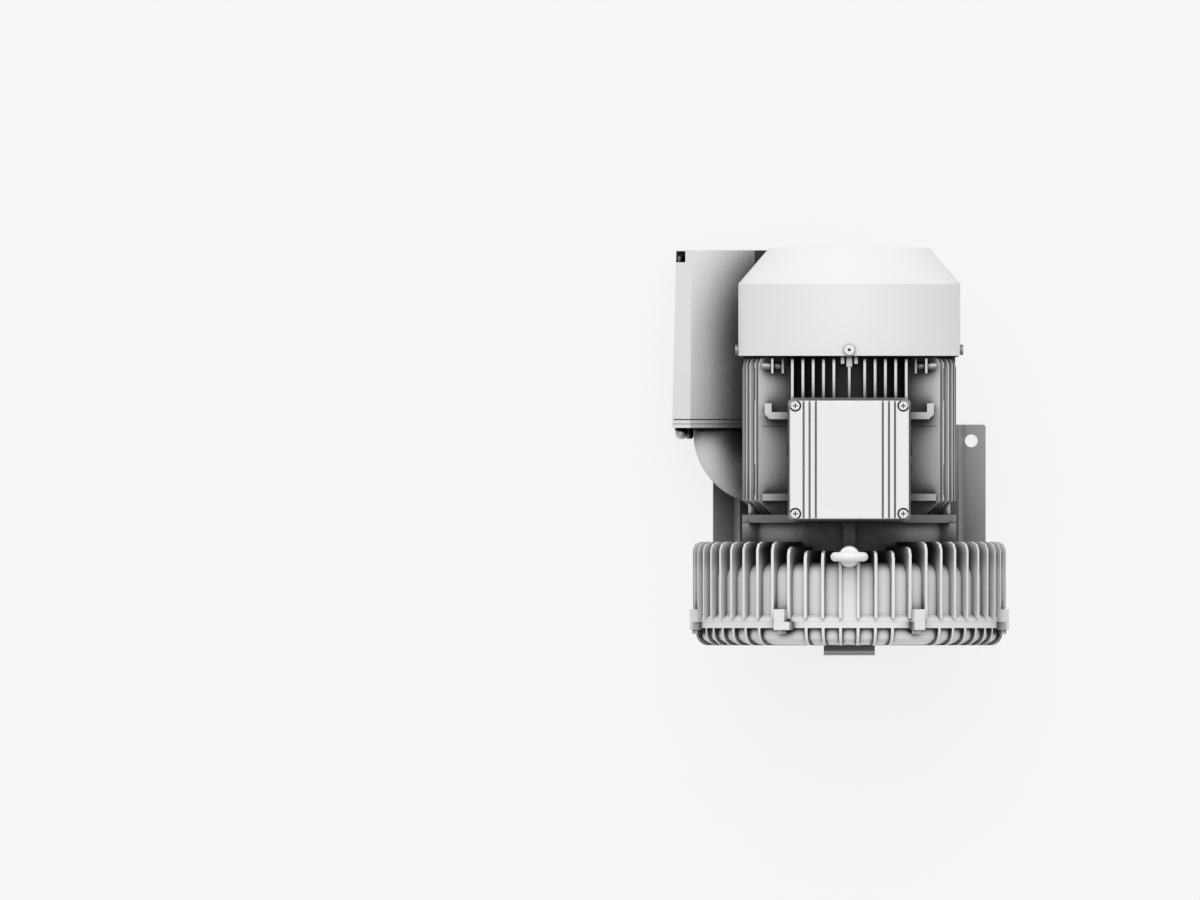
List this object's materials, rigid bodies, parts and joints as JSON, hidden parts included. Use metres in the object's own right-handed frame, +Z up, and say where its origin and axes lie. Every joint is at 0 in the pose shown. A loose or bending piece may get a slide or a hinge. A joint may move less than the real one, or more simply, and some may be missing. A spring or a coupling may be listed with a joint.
{
  "type": "side channel blower",
  "caption": "Side channel blower: ribbed round casing and fan-cooled motor on one horizontal axis, side silencer and folded-sheet foot.",
  "frame": {"origin": "centre of the four foot holes, on the floor plane under the foot", "axes": "+X towards the free threaded port, +Y along the motor axis from the compressor casing to the fan cowl, +Z up"},
  "size_m": [0.3367, 0.4075, 0.3756],
  "materials": {
    "cast_paint": "light grey paint on cast aluminium, satin",
    "cowl_paint": "light grey paint on sheet steel, satin",
    "box_paint": "light grey paint on die-cast aluminium, satin",
    "silencer_paint": "light grey paint, satin",
    "foot_paint": "mid grey paint on folded steel sheet",
    "zinc_steel": "zinc plated",
    "machined_steel": "machined and ground",
    "electrical_steel": "laminated, dull",
    "bare_aluminium": "as cast, machined edges",
    "copper": "varnished winding wire",
    "brass": "bare",
    "black_rubber": "matt",
    "black_plastic": "matt moulded",
    "foam": "open-cell sound absorber"
  },
  "bodies": {
    "blower_body": {"casing_housing": "cast_paint", "casing_cover": "cast_paint", "casing_bolts": "zinc_steel", "bearing_outer_rings": "machined_steel", "spring_washer": "machined_steel", "shaft_seal": "black_rubber", "stator_core": "electrical_steel", "stator_windings": "copper", "motor_frame": "cast_paint", "flange_bolts": "zinc_steel", "side_studs": "zinc_steel", "rear_shield": "cast_paint", "shield_screws": "zinc_steel", "fan_cowl": "cowl_paint", "cowl_screws": "zinc_steel", "terminal_box": "box_paint", "terminal_box_screws": "zinc_steel", "entry_plugs": "black_plastic", "terminal_gasket": "black_rubber", "terminal_lid": "box_paint", "lid_screws": "zinc_steel", "terminal_board": "black_plastic", "terminal_studs": "brass", "lifting_eye": "cast_paint", "elbow": "cast_paint", "elbow_gasket": "black_rubber", "elbow_bolts": "zinc_steel", "silencer_housing": "silencer_paint", "silencer_cap": "silencer_paint", "tie_bolts": "zinc_steel", "silencer_liner": "machined_steel", "silencer_foam": "foam", "foot_bracket": "foot_paint", "foot_bolts": "zinc_steel"},
    "rotor": {"impeller": "bare_aluminium", "impeller_key": "machined_steel", "impeller_washer": "machined_steel", "impeller_bolt": "zinc_steel", "motor_shaft": "machined_steel", "rotor_core": "electrical_steel", "bearing_inner_rings": "machined_steel", "cooling_fan": "black_plastic", "fan_clip": "machined_steel"}
  },
  "joints": [
    {"name": "rotor_spin", "type": "hinge", "parent": "blower_body", "child": "rotor", "pos_m": [0, 0, 0.18], "axis": [0, 1, 0], "continuous": true}
  ]
}
